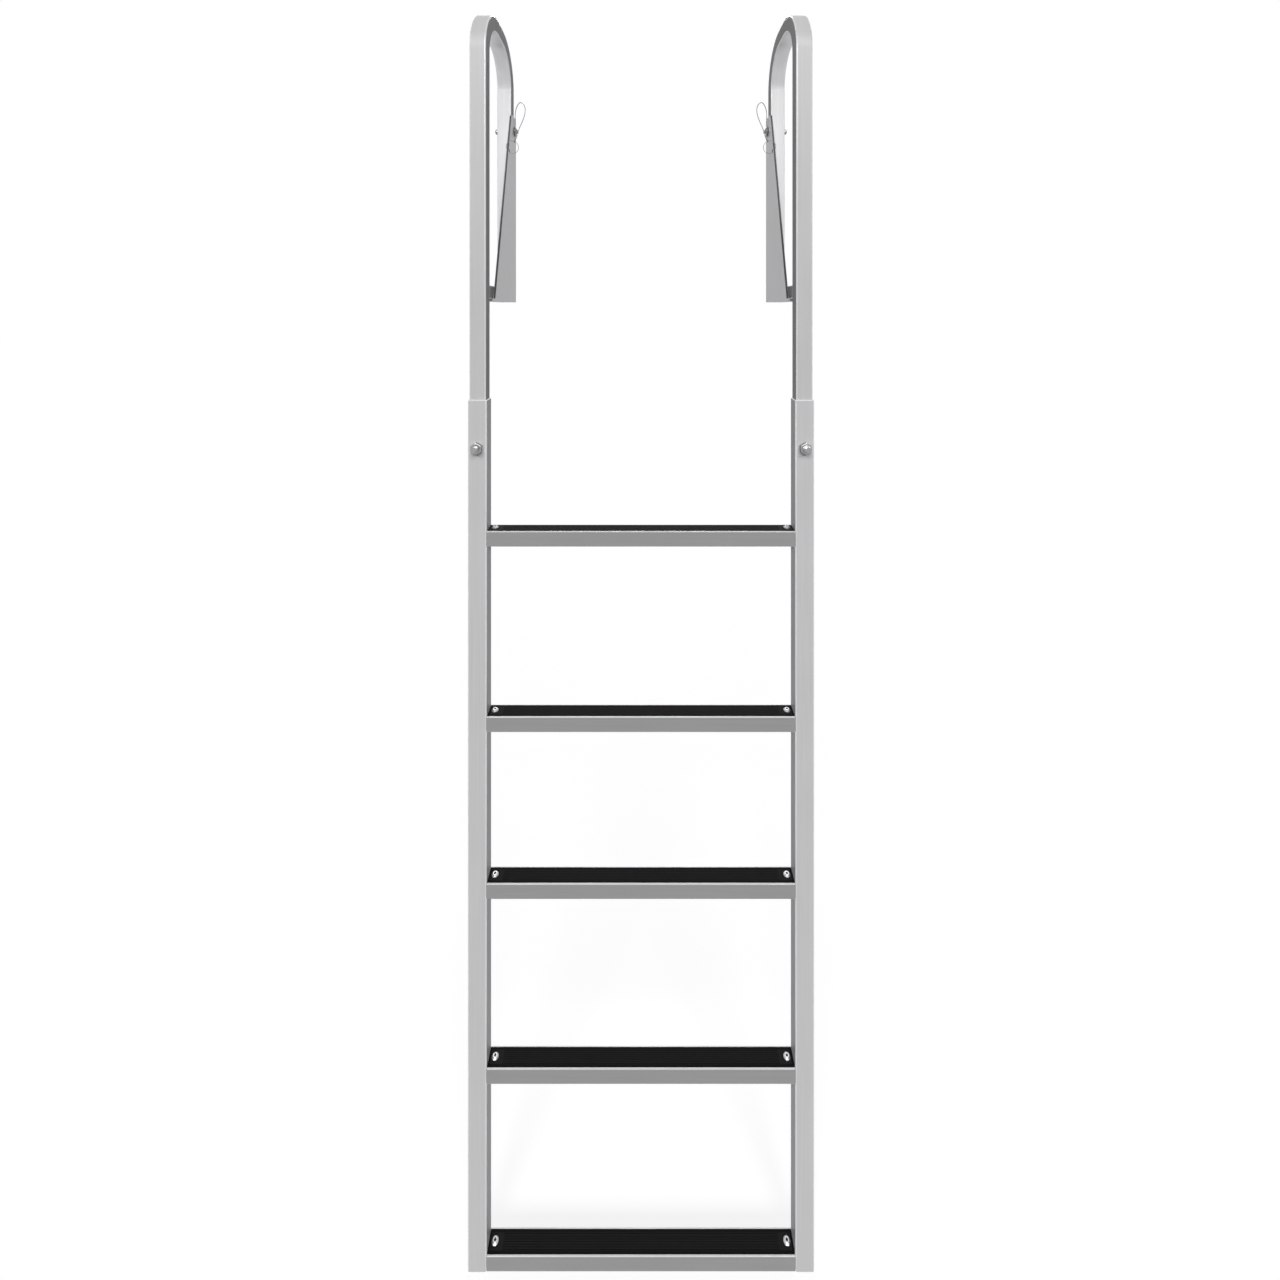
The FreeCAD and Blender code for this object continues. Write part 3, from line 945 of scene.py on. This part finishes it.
# Steps: hollow aluminium extrusions with a shallow channel on top, set flush between the stiles. Their
# satin is duller than the tubes', and the channel's lips and the corners get a painted highlight. All but
# the lowest, which ends level with the stiles, have a weld along each end's lower edge.
step_numbers = range(1, 6)
step_names = [f"step_{number}" for number in step_numbers]
step_half_height = 12.5 * mm
step_corner = 1.5 * mm
lip_starts = 10.5 * mm
lip_bright = 12.2 * mm
step_weld_inset = 2.5 * mm


def step_finish(name, top):
    finish = Finish(name + "_satin")
    depth = finish.y - section_y
    height = finish.z - (top - step_half_height)
    corner = near_corner(depth, height, stile_half_depth, step_half_height, step_corner)
    # Painted highlight on the corners and along the channel's lips.
    painted_highlight = corner.above(height.rise(lip_starts, lip_bright))
    looks = {"tone": 0.34, "highlight_grey": 0.62, "shine": 0.1}
    return drawn_aluminium(finish, (depth, height), finish.x, painted_highlight, **looks)


for name in step_names:
    wear(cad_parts[name], step_finish(name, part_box(name)[1].z))
low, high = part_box("step_2")
for side, x, facing in (("left", low.x, Vector((1, 0, 0))), ("right", high.x, Vector((-1, 0, 0)))):
    start = Vector((x, low.y + step_weld_inset, low.z))
    end = Vector((x, high.y - step_weld_inset, low.z))
    bead = weld_bead("step_2_weld_" + side, start, end, Vector((0, 0, -1)), facing)
    beads = [bead]
    for name in step_names[2:]:
        upward = Matrix.Translation((0, 0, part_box(name)[0].z - low.z))
        beads.append(copied(bead, f"{name}_weld_{side}", upward))
    for piece in beads:
        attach(piece, "ladder")


# Treads: black rubber pads with moulded ribs, glued into the steps' channels and held by a stainless
# button-head screw at each end, where the pad is plain.
groove_pitch = 2.6 * mm
groove_width = 1.1 * mm
groove_depth = 0.7 * mm
groove_reach = 226 * mm
grooves = 7
pad_rim_y = 8.6 * mm
pad_rim_x = 246 * mm
pad_rim_fade = 0.5 * mm
screw_x = 25.5 * mm
socket_radius = 1.95 * mm


def rubber_finish():
    """Black rubber: fine grain, a little dust on the ribs, and painted shade along its smooth rim."""
    finish = Finish("tread_rubber")
    depth = abs(finish.y - section_y)
    reach = abs(finish.x - middle_x)
    long_rims = depth.rise(pad_rim_y, pad_rim_y + pad_rim_fade)
    rim = long_rims.above(reach.rise(pad_rim_x, pad_rim_x + pad_rim_fade))
    grain = finish.noise(finish.place, 0.5 * mm, 3.0)
    dust = finish.noise(finish.place, 30 * mm, 4.0)
    # Painted shade along the rim.
    colour = finish.mix(rim, finish.mix(dust, grey(0.008), grey(0.012)), grey(0.001))
    roughness = 0.8 + 0.15 * (grain - 0.5)
    return finish.surface(colour, roughness, finish.bumps(grain, 0.1 * mm, 0.5), Specular_IOR_Level=0.1)


def tread_pad(name, low, high):
    """Slab with long grooves cut into its top."""
    sizes = {"size": 1.0, "location": (low + high) / 2, "scale": high - low}
    open_primitive(bpy.ops.mesh.primitive_cube_add, name, **sizes)
    bpy.ops.object.mode_set(mode="OBJECT")
    bpy.ops.object.transform_apply(location=True, rotation=True, scale=True)
    bpy.ops.object.mode_set(mode="EDIT")
    for way in (-1, 1):
        cut_across((middle_x + way * groove_reach, 0, 0), (1, 0, 0))
    middles = [section_y + (number - (grooves - 1) / 2) * groove_pitch for number in range(grooves)]
    for middle in middles:
        for way in (-1, 1):
            cut_across((0, middle + way * groove_width / 2, 0), (0, 1, 0))

    def in_groove(face):
        place = face.calc_center_median()
        near = min(abs(place.y - middle) for middle in middles)
        return face.normal.z > 0.9 and near < groove_width / 4 and abs(place.x - middle_x) < groove_reach

    pick(in_groove, "FACE")
    bpy.ops.mesh.extrude_region_move(TRANSFORM_OT_translate={"value": (0, 0, -groove_depth)})
    return wear(close_piece(0.18 * mm, smooth=30.0), rubber)


def screw_finish():
    """Steel turned round each screw's axis, with painted shade in its socket."""
    finish = Finish("screw_turned")
    across = finish.aside - (middle_x - screw_x)
    y = finish.y - section_y
    radius = (across * across + y * y) ** 0.5
    colour, roughness, normal = turned_steel(finish, radius, finish.z, 0.4, 0.6)
    # Painted shade in the socket.
    socket = 1.0 - radius.rise(socket_radius, socket_radius + 0.3 * mm)
    return finish.surface(finish.mix(socket, colour, grey(0.06)), roughness + 0.1, normal, Metallic=0.8)


rubber = rubber_finish()
screw_turned = screw_finish()
low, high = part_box("tread_1")
first_pad = tread_pad("tread_pad_1", low, high)
for number in step_numbers:
    upward = Matrix.Translation((0, 0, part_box(f"tread_{number}")[0].z - low.z))
    pad = first_pad if number == 1 else copied(first_pad, f"tread_pad_{number}", upward)
    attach(pad, "ladder")
    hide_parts(f"tread_{number}")
    wear(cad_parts[f"tread_screws_{number}"], screw_turned)


# Room: a pale floor under the feet, a white surround, and soft lamps above: two in front, a little to
# either side so that the hoops' front legs don't shade their rear legs, and one behind.
floor_level = cad_box[0].z - 0.5 * mm
floor_size = 60.0
floor_grey = 0.25
floor_glow = 0.81
room_light = 0.03
lamps = (
    ("front_left", 1.44, 32.0, -17.0),
    ("front_right", 1.44, 32.0, 17.0),
    ("rear", 1.3, 40.0, 180.0),
)
lamp_spread = 20.0


def seen_directly(nodes):
    """1 for what the camera sees, straight or in metal and glass, and 0 for light on the object."""
    kinds = ("Is Camera Ray", "Is Glossy Ray", "Is Transmission Ray")
    camera_ray, glossy_ray, through_ray = [nodes.node("ShaderNodeLightPath", output=kind) for kind in kinds]
    return camera_ray.above(glossy_ray).above(through_ray)


scene.world = bpy.data.worlds.new("surround")
surround = Nodes(scene.world)
strength = room_light + (1.0 - room_light) * seen_directly(surround)
background = surround.node("ShaderNodeBackground", {"Color": grey(1.0), "Strength": strength})
surround.node("ShaderNodeOutputWorld", [background])

bpy.ops.object.select_all(action="DESELECT")
bpy.ops.mesh.primitive_plane_add(size=floor_size, location=(middle_x, 0, floor_level))
floor = bpy.context.object
floor.name = "floor"
paint = Finish("floor_paint")
matte = paint.node("ShaderNodeBsdfDiffuse", {"Color": grey(floor_grey)})
glow_strength = seen_directly(paint) * floor_glow
glow = paint.node("ShaderNodeEmission", {"Color": grey(1.0), "Strength": glow_strength})
paint.node("ShaderNodeOutputMaterial", [paint.node("ShaderNodeAddShader", [matte, glow])])
wear(floor, paint.material)

for name, strength, height, turn in lamps:
    lamp = bpy.data.objects.new("lamp_" + name, bpy.data.lights.new("lamp_" + name, "SUN"))
    lamp.data.energy = strength
    lamp.data.angle = math.radians(lamp_spread)
    lamp.rotation_euler = (math.radians(90 - height), 0, math.radians(turn))
    scene.collection.objects.link(lamp)

scene.view_settings.view_transform = "Standard"
